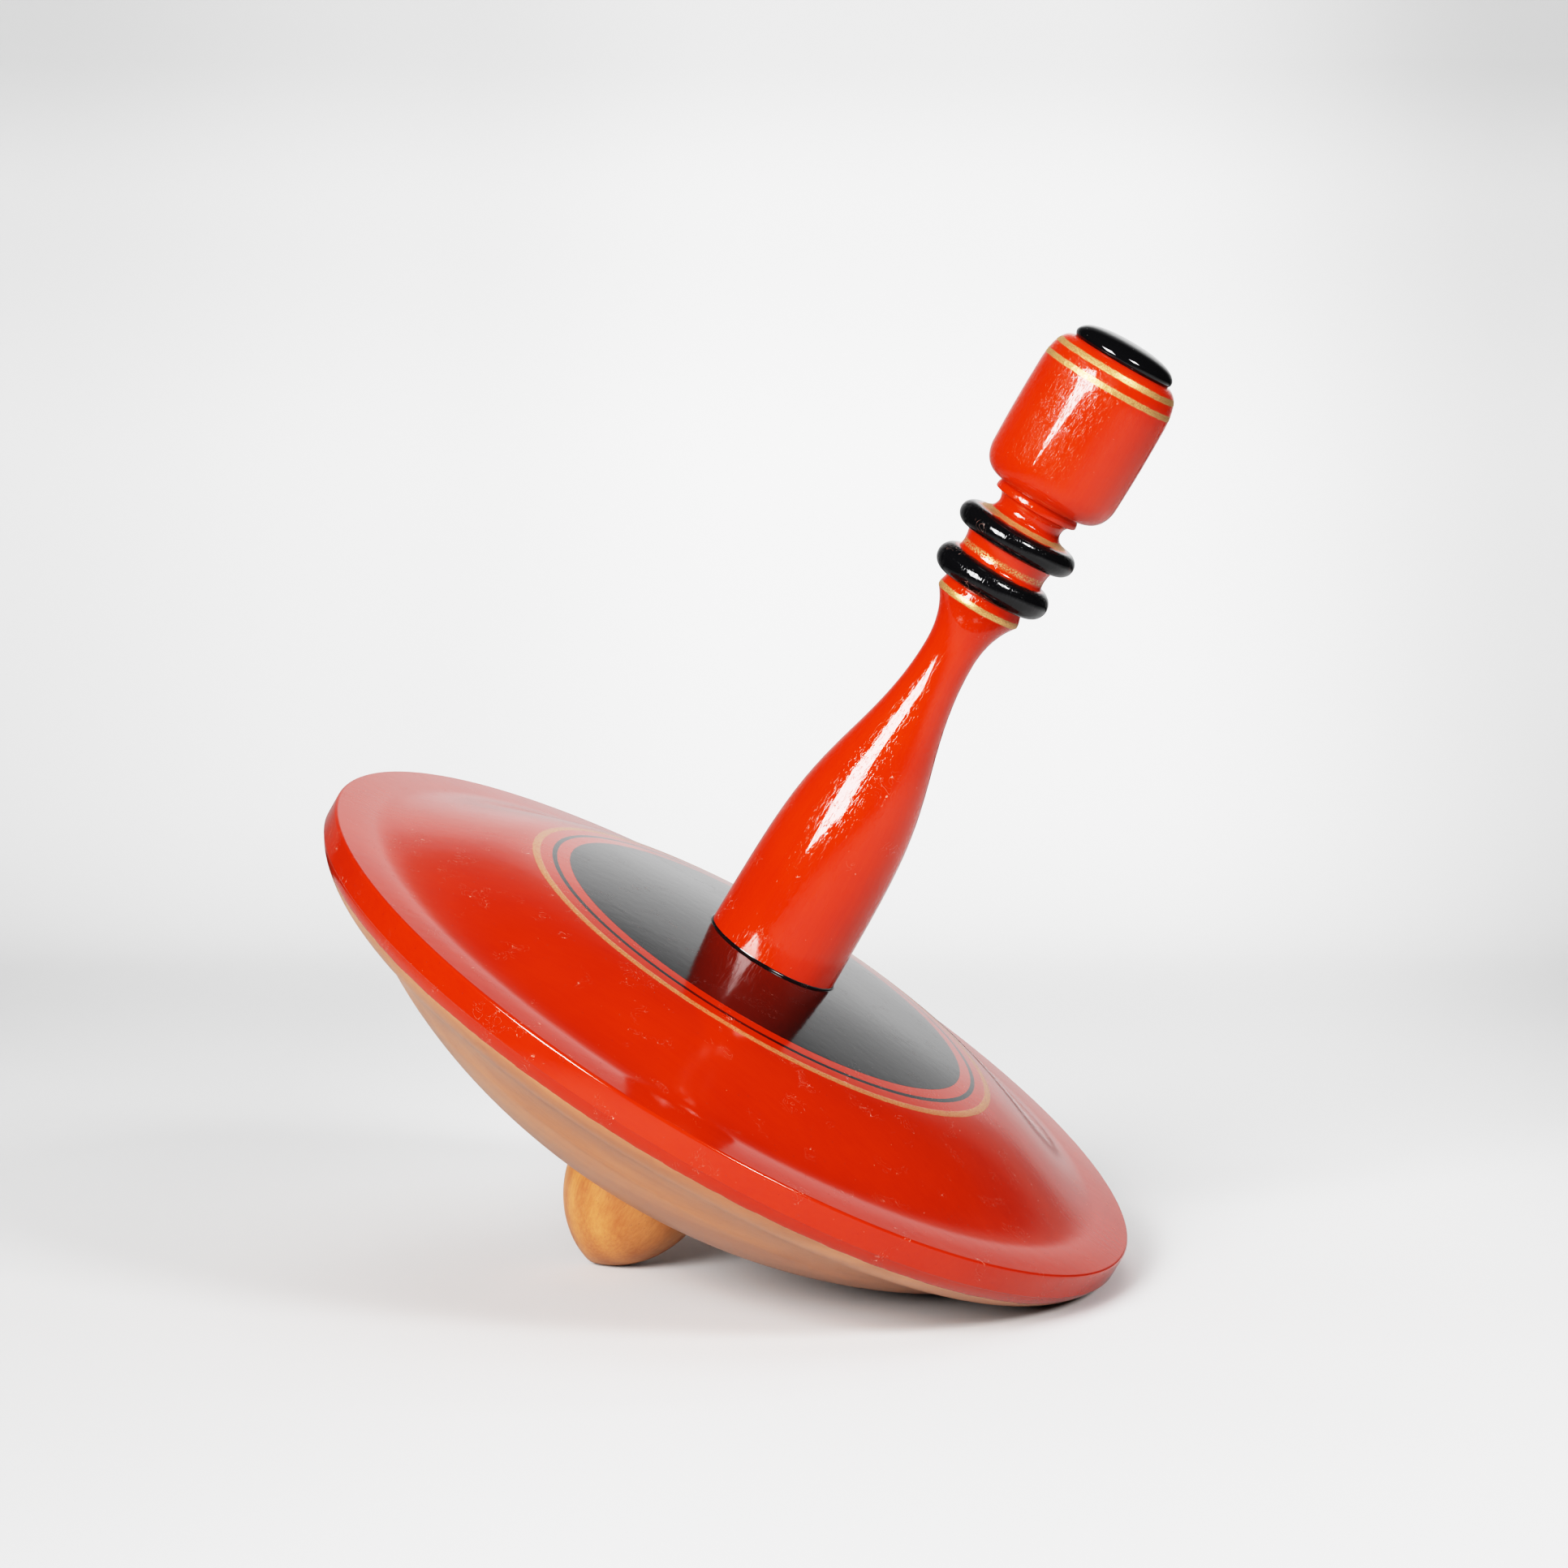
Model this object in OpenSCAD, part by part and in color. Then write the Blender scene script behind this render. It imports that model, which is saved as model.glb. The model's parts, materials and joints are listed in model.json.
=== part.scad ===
// Lacquered hand-twirled spinning top, turned from wood in five pieces.
// It lies at rest on its foot and its rim, with the floor at Z = 0 and the
// handle leaning toward +X. Millimetres.
//
// Every piece is a turned solid. Its outline is written in the top's own
// turning frame: radius outwards, height along the spin axis, and height 0
// at the crisp upper edge of the rim.

/* [Disc] */
// Diameter over the rim band
disc_d = 150.8; // [110:0.2:190]
// Height of the upright rim band
rim_h = 4.1; // [3:0.1:8]
// Radius that breaks the rim's upper edge
rim_edge = 0.5; // [0.2:0.1:1]
// Width of the brim between the rim and the flattest ring of the slope
brim_w = 6.7; // [3:0.1:9]
// Height of the centre pad above the rim's upper edge
dome_h = 11.7; // [8:0.1:18]
// Diameter at which the dome breaks into the long slope
dome_d = 86; // [76:1:96]
// Drop from the centre pad to the dome's shoulder
dome_drop = 3.05; // [2:0.05:5]
// Depth of the rounded lip below the rim's upper edge
lip_depth = 9.8; // [8:0.1:14]
// Width of the rounded lip under the rim
lip_w = 6.3; // [4:0.1:9]
// Diameter at which the belly springs from the cove under the lip
belly_d = 114.4; // [100:0.2:120]
// Depth at which the belly springs
belly_spring = 16.5; // [14:0.1:20]
// Depth of the underside where the foot seats
belly_depth = 32; // [26:0.5:40]

/* [Foot] */
// Diameter of the foot where it meets the belly
foot_d = 24.8; // [20:0.2:30]
// Height of the foot below its seat
foot_h = 18.7; // [14:0.1:26]
// Radius of the blunt end that the top spins on
foot_tip = 2.4; // [1.5:0.1:3.5]

/* [Handle] */
// Diameter of the bottle-shaped grip at its base
grip_d = 23; // [19:0.2:28]
// Height from the base to the narrowest point of the neck
neck_h = 58.1; // [48:0.5:72]
// Diameter of the neck
neck_d = 8.8; // [8.4:0.1:11]
// Height from the neck to the sharp edge of the collar
flare_h = 9.2; // [7:0.1:12]
// Diameter of the collar
collar_d = 14.7; // [13:0.1:15.2]
// Height of the collar
collar_h = 2.4; // [1.8:0.1:3.5]
// Diameter of the lower bead
bead_low_d = 20.3; // [18:0.1:24]
// Thickness of the lower bead
bead_low_t = 4.9; // [3.6:0.1:6]
// Diameter of the upper bead
bead_top_d = 21; // [18:0.1:24]
// Thickness of the upper bead
bead_top_t = 4; // [3:0.1:5]
// Diameter of the cove between the beads
cove_low_d = 15; // [13:0.1:15.2]
// Height of the cove between the beads
cove_low_h = 3.45; // [2.6:0.05:5]
// Diameter of the cove above the upper bead
cove_top_d = 11.5; // [10.6:0.1:13]
// Height of the cove above the upper bead
cove_top_h = 3.75; // [3:0.05:5]
// Diameter of the small flange under the knob
flange_d = 14.7; // [14:0.1:16]
// Height of the small flange
flange_h = 1.6; // [1.2:0.1:2.4]

/* [Knob] */
// Greatest diameter of the knob
knob_d = 23.2; // [20:0.2:28]
// Height of the knob
knob_h = 25.7; // [20:0.1:34]
// Height over which the knob's underside is rounded
knob_base_round = 4.7; // [3.5:0.1:7]
// Height over which the knob's shoulder is rounded
knob_top_round = 6; // [4.5:0.1:8]

/* [Cap] */
// Diameter of the black cap
cap_d = 17.7; // [15:0.1:18.4]
// Height of the cap above the knob
cap_h = 3.4; // [2.4:0.1:4.5]

/* [Joints] */
// Bore through the disc, for the handle's spigot and the foot's tenon
bore_d = 14; // [10:0.5:16]
// Length of the handle's spigot in the disc
spigot_l = 20; // [14:0.5:24]
// Bore in the knob, for the spigot on top of the handle
knob_bore_d = 8; // [6:0.2:9]
// Length of the spigot in the knob
knob_spigot_l = 14; // [9:0.5:16]
// Bore in the knob's top, for the cap's stub
cap_bore_d = 9; // [6:0.2:11]
// Length of the cap's stub
cap_stub_l = 4.5; // [3:0.1:5.5]
// Glue line all round each spigot, on the radius
glue_line = 0.05; // [0:0.01:0.15]
// Room left for glue at the end of each spigot
glue_room = 0.6; // [0.3:0.1:1]
// Chamfer on the end of each spigot
spigot_chamfer = 0.8; // [0.4:0.1:1.2]

/* [Hidden] */
turned_fn = 180;
curve_n = 9;
red = [0.86, 0.16, 0.02];
black = [0.05, 0.05, 0.05];
foot_wood = [0.86, 0.56, 0.30];

disc_r = disc_d / 2;
brim_r = disc_r - brim_w;
dome_r = dome_d / 2;
lip_r = disc_r - lip_w;
belly_r = belly_d / 2;
foot_r = foot_d / 2;
grip_r = grip_d / 2;
bore_r = bore_d / 2;
knob_bore_r = knob_bore_d / 2;
cap_bore_r = cap_bore_d / 2;

// Heights along the spin axis
neck_z = dome_h + neck_h;
collar_z = neck_z + flare_h;
bead_low_z = collar_z + collar_h + bead_low_t / 2;
cove_low_z = bead_low_z + bead_low_t / 2;
bead_top_z = cove_low_z + cove_low_h + bead_top_t / 2;
cove_top_z = bead_top_z + bead_top_t / 2;
flange_z = cove_top_z + cove_top_h;
knob_z = flange_z + flange_h;
cap_z = knob_z + knob_h;
spigot_end_z = dome_h - spigot_l;
tenon_end_z = spigot_end_z - glue_room;

// Points along a cubic curve from a to d, drawn toward b and c.
function curve(a, b, c, d, n = curve_n) = [
    for (i = [0:n])
        let (t = i / n, u = 1 - t)
        a * pow(u, 3) + b * 3 * t * u * u + c * 3 * t * t * u + d * pow(t, 3)
];

// Points along an arc about the point c, from angle a0 to angle a1.
function arc(c, r, a0, a1, n = curve_n) = [
    for (i = [0:n])
        let (a = a0 + (a1 - a0) * i / n)
        c + r * [cos(a), sin(a)]
];

// A bead's half-round outline, from its underside to its top.
function bead(d, t, z) = arc([(d - t) / 2, z], t / 2, -90, 90, 12);

// A list without its first point, for a stretch that starts where the last one ended.
function rest_of(points) = [for (i = [1:len(points) - 1]) points[i]];

// Disc: centre pad, dome, long slope, brim, rim band, lip, cove and belly.
// dome_pull is how far each curve holds the line of the slope at the dome's shoulder.
dome_pull = 10;
dome_slope = 0.16;
long_slope = 0.22;
pad_pull = 9;
pad_fall = 0.35;
brim_pull = 6.1;
brim_pull_z = 0.85;
brim_rise = 0.52;
brim_fall = 0.02;
rim_fall = 0.13;
shoulder_z = dome_h - dome_drop;
disc_top = concat(
    [[grip_r, dome_h]],
    rest_of(curve(
        [grip_r, dome_h],
        [grip_r + pad_pull, dome_h - pad_fall],
        [dome_r - dome_pull, shoulder_z + dome_pull * dome_slope],
        [dome_r, shoulder_z])),
    rest_of(curve(
        [dome_r, shoulder_z],
        [dome_r + dome_pull, shoulder_z - dome_pull * long_slope],
        [brim_r - brim_pull, brim_pull_z],
        [brim_r, brim_rise], 12)),
    rest_of(curve(
        [brim_r, brim_rise],
        [brim_r + brim_w / 3, brim_rise - brim_fall * brim_w / 3],
        [disc_r - rim_edge - brim_w / 3, rim_fall * brim_w / 3],
        [disc_r - rim_edge, 0], 5)),
    rest_of(arc([disc_r - rim_edge, -rim_edge], rim_edge, 90, 0, 5))
);
disc_under = concat(
    curve(
        [disc_r, -rim_h],
        [disc_r - 0.8, -rim_h - 1.9],
        [lip_r + 3.1, -lip_depth + 1.15],
        [lip_r, -lip_depth]),
    rest_of(curve(
        [lip_r, -lip_depth],
        [lip_r - 3.8, -lip_depth - 0.95],
        [belly_r + 4, -belly_spring + 3.3],
        [belly_r, -belly_spring])),
    rest_of(curve(
        [belly_r, -belly_spring],
        [belly_r * 0.79, -belly_spring - 0.53 * (belly_depth - belly_spring)],
        [belly_r * 0.49, -belly_depth + 1.1],
        [foot_r, -belly_depth], 14))
);
disc_outline = concat(
    [[bore_r, dome_h]], disc_top, disc_under, [[bore_r, -belly_depth]]
);

// Foot: an egg-shaped end that the top spins on, and a tenon up the bore.
foot_tip_z = -belly_depth - foot_h;
foot_nose = 0.9;
foot_egg = concat(
    curve(
        [foot_r, -belly_depth],
        [foot_r, -belly_depth - foot_h * 0.51],
        [foot_r * 0.58, foot_tip_z + foot_h * 0.18],
        [foot_tip, foot_tip_z + foot_nose], 12),
    rest_of(curve(
        [foot_tip, foot_tip_z + foot_nose],
        [foot_tip * 0.62, foot_tip_z + 0.4],
        [foot_tip * 0.3, foot_tip_z],
        [0, foot_tip_z], 6))
);
tenon_r = bore_r - glue_line;
foot_outline = concat(
    [[0, tenon_end_z], [tenon_r - spigot_chamfer, tenon_end_z]],
    [[tenon_r, tenon_end_z - spigot_chamfer], [tenon_r, -belly_depth]],
    foot_egg
);

// Handle: spigot, bottle-shaped grip, collar, two beads, two coves, flange and spigot.
grip_turn = [grip_r * 0.66, dome_h + neck_h * 0.676];
grip_lean = 0.28;
neck_r = neck_d / 2;
collar_lip = 0.55;
collar_slope = 0.5;
flange_round = 0.25;
flange_band = 0.8;
handle_top_r = knob_bore_r - glue_line;
handle_side = concat(
    curve(
        [grip_r, dome_h],
        [grip_r - 0.2, dome_h + neck_h * 0.384],
        grip_turn + neck_h * 0.207 * [grip_lean, -1],
        grip_turn, 14),
    rest_of(curve(
        grip_turn,
        grip_turn + neck_h * 0.086 * [-grip_lean, 1],
        [neck_r, neck_z - neck_h * 0.126],
        [neck_r, neck_z])),
    rest_of(curve(
        [neck_r, neck_z],
        [neck_r, neck_z + flare_h * 0.41],
        [collar_d * 0.37, collar_z - flare_h * 0.25],
        [collar_d / 2, collar_z])),
    [[collar_d / 2, collar_z + collar_lip], [collar_d / 2 - collar_slope, collar_z + collar_h]],
    bead(bead_low_d, bead_low_t, bead_low_z),
    rest_of(curve(
        [(bead_low_d - bead_low_t) / 2, cove_low_z],
        [cove_low_d / 2 - 0.3, cove_low_z + cove_low_h * 0.15],
        [cove_low_d / 2 - 0.15, cove_low_z + cove_low_h * 0.7],
        [cove_low_d / 2 + 0.35, cove_low_z + cove_low_h])),
    bead(bead_top_d, bead_top_t, bead_top_z),
    rest_of(curve(
        [(bead_top_d - bead_top_t) / 2, cove_top_z],
        [cove_top_d / 2 + 0.3, cove_top_z + cove_top_h * 0.1],
        [cove_top_d / 2 - 0.3, cove_top_z + cove_top_h * 0.4],
        [cove_top_d / 2 + 0.05, cove_top_z + cove_top_h * 0.72])),
    rest_of(curve(
        [cove_top_d / 2 + 0.05, cove_top_z + cove_top_h * 0.72],
        [cove_top_d / 2 + 0.25, flange_z - cove_top_h * 0.1],
        [flange_d / 2 - 0.9, flange_z],
        [flange_d / 2 - flange_round, flange_z], 6)),
    [[flange_d / 2, flange_z + flange_round], [flange_d / 2, flange_z + flange_band]],
    [[flange_d / 2 - 2 * flange_round, knob_z]]
);
handle_outline = concat(
    [[0, spigot_end_z], [tenon_r - spigot_chamfer, spigot_end_z]],
    [[tenon_r, spigot_end_z + spigot_chamfer], [tenon_r, dome_h]],
    handle_side,
    [[handle_top_r, knob_z], [handle_top_r, knob_z + knob_spigot_l - spigot_chamfer]],
    [[handle_top_r - spigot_chamfer, knob_z + knob_spigot_l], [0, knob_z + knob_spigot_l]]
);

// Knob: a small barrel with a rounded underside and shoulder, bored at both ends.
knob_r = knob_d / 2;
knob_seat_r = flange_d / 2 + 0.15;
knob_taper = 0.1;
knob_low_z = knob_z + knob_base_round;
knob_high_z = cap_z - knob_top_round;
cap_tuck = 0.4;
cap_seat_r = cap_d / 2 - cap_tuck;
knob_side = concat(
    curve(
        [knob_seat_r, knob_z],
        [knob_seat_r + 2.1, knob_z + 0.1],
        [knob_r - 0.25, knob_z + knob_base_round * 0.35],
        [knob_r - 0.15, knob_low_z]),
    rest_of(curve(
        [knob_r - 0.15, knob_low_z],
        [knob_r + 0.02, knob_low_z + (knob_high_z - knob_low_z) * 0.35],
        [knob_r + 0.02, knob_low_z + (knob_high_z - knob_low_z) * 0.65],
        [knob_r - knob_taper, knob_high_z], 6)),
    rest_of(curve(
        [knob_r - knob_taper, knob_high_z],
        [knob_r - 0.3, knob_high_z + knob_top_round * 0.62],
        [knob_r - 1.1, cap_z - 0.35],
        [cap_seat_r, cap_z]))
);
knob_outline = concat(
    [[knob_bore_r, knob_z]],
    knob_side,
    [[cap_bore_r, cap_z], [cap_bore_r, cap_z - cap_stub_l - glue_room]],
    [[0, cap_z - cap_stub_l - glue_room], [0, knob_z + knob_spigot_l + glue_room]],
    [[knob_bore_r, knob_z + knob_spigot_l + glue_room]]
);

// Cap: a low black button with a rolled edge, on a stub.
cap_r = cap_d / 2;
cap_stub_r = cap_bore_r - glue_line;
cap_roll = 0.1;
cap_outline = concat(
    [[0, cap_z - cap_stub_l], [cap_stub_r - spigot_chamfer, cap_z - cap_stub_l]],
    [[cap_stub_r, cap_z - cap_stub_l + spigot_chamfer], [cap_stub_r, cap_z]],
    curve(
        [cap_seat_r, cap_z],
        [cap_r + cap_roll, cap_z + cap_h * 0.12],
        [cap_r + cap_roll, cap_z + cap_h * 0.34],
        [cap_r * 0.93, cap_z + cap_h * 0.52]),
    rest_of(curve(
        [cap_r * 0.93, cap_z + cap_h * 0.52],
        [cap_r * 0.80, cap_z + cap_h * 0.87],
        [cap_r * 0.42, cap_z + cap_h],
        [0, cap_z + cap_h], 9))
);

// How the top lies: the floor is the plane that touches both the foot and the rim.
// reach() is how far an outline comes down when the spin axis leans by that angle.
function reach(points, lean) = max([for (p = points) p[0] * sin(lean) - p[1] * cos(lean)]);
function lean_between(low, high, steps = 40) =
    let (mid = (low + high) / 2)
    steps == 0 ? mid
    : reach(disc_under, mid) > reach(foot_egg, mid) ? lean_between(low, mid, steps - 1)
    : lean_between(mid, high, steps - 1);
lean = lean_between(5, 60);
floor_reach = reach(foot_egg, lean);

// The lying top is centred on the origin, over its bounding box.
outer_points = concat(disc_top, disc_under, foot_egg, handle_side, knob_side, cap_outline);
x_high = max([for (p = outer_points) p[1] * sin(lean) + p[0] * cos(lean)]);
x_low = min([for (p = outer_points) p[1] * sin(lean) - p[0] * cos(lean)]);

module lie_down() {
    translate([-(x_high + x_low) / 2, 0, floor_reach])
        rotate([0, lean, 0])
            children();
}

module turned(outline) {
    lie_down()
        rotate_extrude($fn = turned_fn)
            polygon(outline);
}

module disc() {
    color(red) turned(disc_outline);
}

module foot() {
    color(foot_wood) turned(foot_outline);
}

module handle() {
    color(red) turned(handle_outline);
}

module knob() {
    color(red) turned(knob_outline);
}

module cap_button() {
    color(black) turned(cap_outline);
}

disc();
foot();
handle();
knob();
cap_button();
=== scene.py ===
"""Lacquered hand-twirled spinning top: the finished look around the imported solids.

Each piece is turned from a drawn outline, as on a lathe, and painted with
node-based lacquer, gold lines and clear-finished wood.
"""

import json
import math

import bpy
from bpy.props import FloatProperty, FloatVectorProperty, IntProperty, PointerProperty
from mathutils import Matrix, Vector


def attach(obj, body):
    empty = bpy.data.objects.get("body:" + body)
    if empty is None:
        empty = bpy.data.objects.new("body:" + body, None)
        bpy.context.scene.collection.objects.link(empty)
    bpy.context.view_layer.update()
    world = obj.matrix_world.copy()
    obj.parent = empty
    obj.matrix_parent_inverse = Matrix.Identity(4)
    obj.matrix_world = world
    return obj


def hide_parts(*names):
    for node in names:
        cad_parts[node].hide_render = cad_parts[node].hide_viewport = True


bl_info = {
    "name": "Lacquered Spinning Top",
    "version": (1, 0, 0),
    "blender": (4, 5, 0),
    "location": "View3D > Sidebar > Top",
    "description": "Builds the pieces of a lacquered wooden spinning top",
    "category": "Object",
}

MM = 0.001
TONE_WHITE = 3.0
# The disc's red is drawn darker than the handle's, by this factor.
DISC_RED_SCALE = 0.82
TONE_POINTS = (
    (0.03, 0.017),
    (0.09, 0.075),
    (0.20, 0.21),
    (0.40, 0.46),
    (0.70, 0.71),
    (1.00, 0.83),
    (1.50, 0.92),
    (2.20, 0.97),
)

# The paper sweep and the two cards: widths, depths and heights in metres.
PAPER_WIDTH, PAPER_DEPTH, PAPER_HEIGHT = (-4.0, 4.0), (-4.0, 0.80), 1.6
PAPER_BEND = 0.36
WALL_WIDTH, WALL_DEPTH, WALL_HEIGHT = (-0.75, 0.80), (0.0, 0.795), 1.1
FLOOR_WIDTH, FLOOR_DEPTH = (-0.60, 0.60), (-0.60, 0.79)
FLOOR_LIFT = 0.3 * MM
# The floor card's painted reflection is drawn this much darker than the paper.
FLOOR_REFLECTION_SHADE = 0.52

# Place in metres and brightness of the paper's painted shade: sideways, upwards and backwards.
PAPER_SHADE_ACROSS = (
    (-0.60, 0.50),
    (-0.28, 0.57),
    (-0.12, 0.69),
    (0.0, 0.84),
    (0.11, 0.85),
    (0.28, 0.55),
    (0.60, 0.50),
)
PAPER_SHADE_UP = (
    (0.0, 1.0),
    (0.14, 1.0),
    (0.24, 0.85),
    (0.31, 0.64),
    (0.80, 0.50),
)
PAPER_SHADE_BACK = (
    (-0.60, 0.70),
    (-0.05, 0.74),
    (0.12, 0.82),
    (0.34, 0.78),
    (0.62, 0.98),
    (0.85, 1.0),
)

# The same for the painted reflections that the lacquer mirrors: a glowing wall card and a floor
# card near the top.
WALL_GLOW_ACROSS = (
    (-0.75, 0.1),
    (-0.53, 0.17),
    (-0.19, 0.45),
    (-0.03, 0.8),
    (0.08, 1.0),
    (0.25, 0.95),
    (0.38, 0.7),
    (0.51, 0.28),
    (0.70, 0.05),
)
WALL_GLOW_UP = (
    (0.02, 0.6),
    (0.14, 0.8),
    (0.25, 1.0),
    (0.46, 0.95),
    (0.58, 0.6),
    (0.68, 0.3),
    (0.80, 0.18),
    (1.0, 0.05),
)
FLOOR_REFLECTION_ACROSS = (
    (-0.60, 0.2),
    (-0.30, 0.55),
    (-0.12, 0.85),
    (0.05, 1.0),
    (0.22, 1.25),
    (0.36, 0.6),
    (0.56, 0.1),
)
FLOOR_REFLECTION_ALONG = (
    (-0.50, 0.0),
    (-0.44, 0.05),
    (-0.36, 0.25),
    (-0.25, 0.62),
    (-0.17, 0.9),
    (0.60, 1.0),
)

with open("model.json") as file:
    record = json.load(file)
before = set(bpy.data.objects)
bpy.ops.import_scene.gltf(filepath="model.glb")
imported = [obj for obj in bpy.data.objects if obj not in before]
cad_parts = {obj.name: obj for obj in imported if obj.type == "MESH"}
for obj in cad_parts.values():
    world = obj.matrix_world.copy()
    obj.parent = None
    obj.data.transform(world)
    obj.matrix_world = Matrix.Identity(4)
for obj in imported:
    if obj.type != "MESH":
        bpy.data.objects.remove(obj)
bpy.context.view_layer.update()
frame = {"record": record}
MOUNTS = {mount["name"]: mount for mount in frame["record"]["mounts"]}
FOOT_END = Vector(MOUNTS["foot_tip"]["pos_m"])
SPIN_AXIS = -Vector(MOUNTS["foot_tip"]["axis"])
LEAN = math.atan2(SPIN_AXIS.x, SPIN_AXIS.z)


def length(name, description, default_mm):
    """A size in metres, given in millimetres."""
    return FloatProperty(
        name=name,
        description=description,
        default=default_mm * MM,
        min=0.0,
        precision=5,
        unit="LENGTH",
    )


def colour(name, description, default):
    """A linear colour."""
    return FloatVectorProperty(
        name=name,
        description=description,
        default=default,
        min=0.0,
        max=1.0,
        size=3,
        subtype="COLOR",
    )


def number(name, description, default):
    """A plain number."""
    return FloatProperty(name=name, description=description, default=default, precision=4)


class DiscSizes(bpy.types.PropertyGroup):
    """Sizes of the disc, with height 0 at the rim's upper edge."""

    radius: length("Radius", "Radius over the rim band", 75.4)
    rim: length("Rim height", "Height of the upright rim band", 4.1)
    rim_edge: length("Rim edge", "Radius that breaks the rim's upper edge", 0.5)
    brim: length("Brim width", "Width from the rim to the slope's flattest ring", 6.7)
    brim_rise: length("Brim rise", "Height of that flattest ring", 0.52)
    dome: length("Dome height", "Height of the centre pad", 11.7)
    dome_radius: length("Dome radius", "Radius where the long slope begins", 43.0)
    dome_drop: length("Dome drop", "Drop from the pad to the dome's shoulder", 3.05)
    lip_depth: length("Lip depth", "Depth of the rounded lip", 9.8)
    lip_width: length("Lip width", "Width of the rounded lip", 6.3)
    belly_radius: length("Belly radius", "Radius where the belly springs", 57.2)
    belly_spring: length("Belly spring", "Depth where the belly springs", 16.5)
    belly_depth: length("Belly depth", "Depth of the foot's seat", 32.0)
    bore: length("Bore radius", "Radius of the bore for spigot and tenon", 7.0)
    field: length("Field radius", "Radius of the black centre field", 37.2)
    black_line: length("Black line radius", "Middle of the black line", 39.84)
    black_width: length("Black line width", "Width of the black line", 0.85)
    gold_line: length("Gold line radius", "Middle of the gold line", 43.0)
    gold_width: length("Gold line width", "Width of the gold line", 1.3)
    paint_end: length("Paint depth", "Depth at which the red coat ends", 6.3)


class FootSizes(bpy.types.PropertyGroup):
    """Sizes of the foot."""

    radius: length("Radius", "Radius where the foot meets the belly", 12.4)
    height: length("Height", "Height of the foot below its seat", 18.7)
    tip: length("Tip radius", "Radius of the blunt end", 2.4)
    nose: length("Nose height", "Height over which the end is rounded", 0.9)
    tenon: length("Tenon radius", "Radius of the tenon in the disc", 6.95)
    tenon_top: length("Tenon depth", "Depth of the tenon's end", 8.9)


class HandleSizes(bpy.types.PropertyGroup):
    """Sizes of the handle, upward from the disc's centre pad."""

    grip: length("Grip radius", "Radius of the grip at its base", 11.5)
    neck_height: length("Neck height", "Height from base to neck", 58.1)
    neck: length("Neck radius", "Radius of the neck", 4.4)
    flare: length("Flare height", "Height from the neck to the collar", 9.2)
    collar: length("Collar radius", "Radius of the collar", 7.35)
    collar_height: length("Collar height", "Height of the collar", 2.4)
    low_bead: length("Lower bead radius", "Outer radius of the lower bead", 10.15)
    low_bead_height: length("Lower bead height", "Thickness of the lower bead", 4.9)
    top_bead: length("Upper bead radius", "Outer radius of the upper bead", 10.5)
    top_bead_height: length("Upper bead height", "Thickness of the upper bead", 4.0)
    low_cove: length("Lower cove radius", "Radius of the cove between the beads", 7.5)
    low_cove_height: length("Lower cove height", "Height of that cove", 3.45)
    top_cove: length("Upper cove radius", "Radius of the cove above the beads", 5.75)
    top_cove_height: length("Upper cove height", "Height of that cove", 3.75)
    flange: length("Flange radius", "Radius of the flange under the knob", 7.35)
    flange_height: length("Flange height", "Height of the flange", 1.6)
    spigot: length("Spigot length", "Length of the spigot in the disc", 20.0)
    top_spigot: length("Top spigot radius", "Radius of the spigot in the knob", 3.95)
    top_spigot_length: length("Top spigot length", "Length of that spigot", 14.0)
    seam: length("Seam height", "Height of the black seam at the base", 0.35)
    gold_width: length("Gold width", "Width of the gold lines", 1.05)


class KnobSizes(bpy.types.PropertyGroup):
    """Sizes of the knob."""

    radius: length("Radius", "Greatest radius of the knob", 11.6)
    height: length("Height", "Height of the knob", 25.7)
    base_round: length("Base rounding", "Height of the rounded underside", 4.7)
    top_round: length("Shoulder rounding", "Height of the rounded shoulder", 6.0)
    bore: length("Lower bore radius", "Radius of the bore for the handle", 4.0)
    top_bore: length("Upper bore radius", "Radius of the bore for the cap", 4.5)
    low_line: length("Lower gold line", "Distance of the lower line from the top", 4.2)
    top_line: length("Upper gold line", "Distance of the upper line from the top", 1.7)
    gold_width: length("Gold width", "Width of the gold lines", 0.95)


class CapSizes(bpy.types.PropertyGroup):
    """Sizes of the cap."""

    radius: length("Radius", "Radius of the cap", 8.85)
    height: length("Height", "Height of the cap above the knob", 3.4)
    tuck: length("Tuck", "How far the cap's seat is drawn in", 0.4)
    stub: length("Stub length", "Length of the cap's stub", 4.5)


class Finishes(bpy.types.PropertyGroup):
    """Colours and gloss of the paints and woods."""

    red: colour("Vermilion", "Red lacquer", (0.44, 0.023, 0.0003))
    red_deep: colour("Deep vermilion", "Red lacquer where it lies thicker", (0.38, 0.017, 0.0003))
    black: colour("Black", "Black lacquer", (0.003, 0.003, 0.0035))
    gold: colour("Gold", "Gold powder", (0.55, 0.34, 0.145))
    gold_dark: colour("Dull gold", "Gold powder where it is thin", (0.34, 0.155, 0.055))
    wood: colour("Belly wood", "Clear-finished wood of the disc", (0.40, 0.17, 0.08))
    wood_dark: colour("Belly figure", "Darker figure in that wood", (0.28, 0.105, 0.046))
    foot: colour("Foot wood", "Clear-finished wood of the foot", (0.50, 0.210, 0.070))
    foot_dark: colour("Foot figure", "Darker rings in that wood", (0.30, 0.095, 0.027))
    lint: colour("Lint", "Dust and lint on the lacquer", (0.85, 0.45, 0.36))
    gloss: number("Handle roughness", "Roughness of the lacquer on the handle", 0.05)
    disc_gloss: number("Disc roughness", "Roughness of the lacquer on the disc", 0.10)


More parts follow.
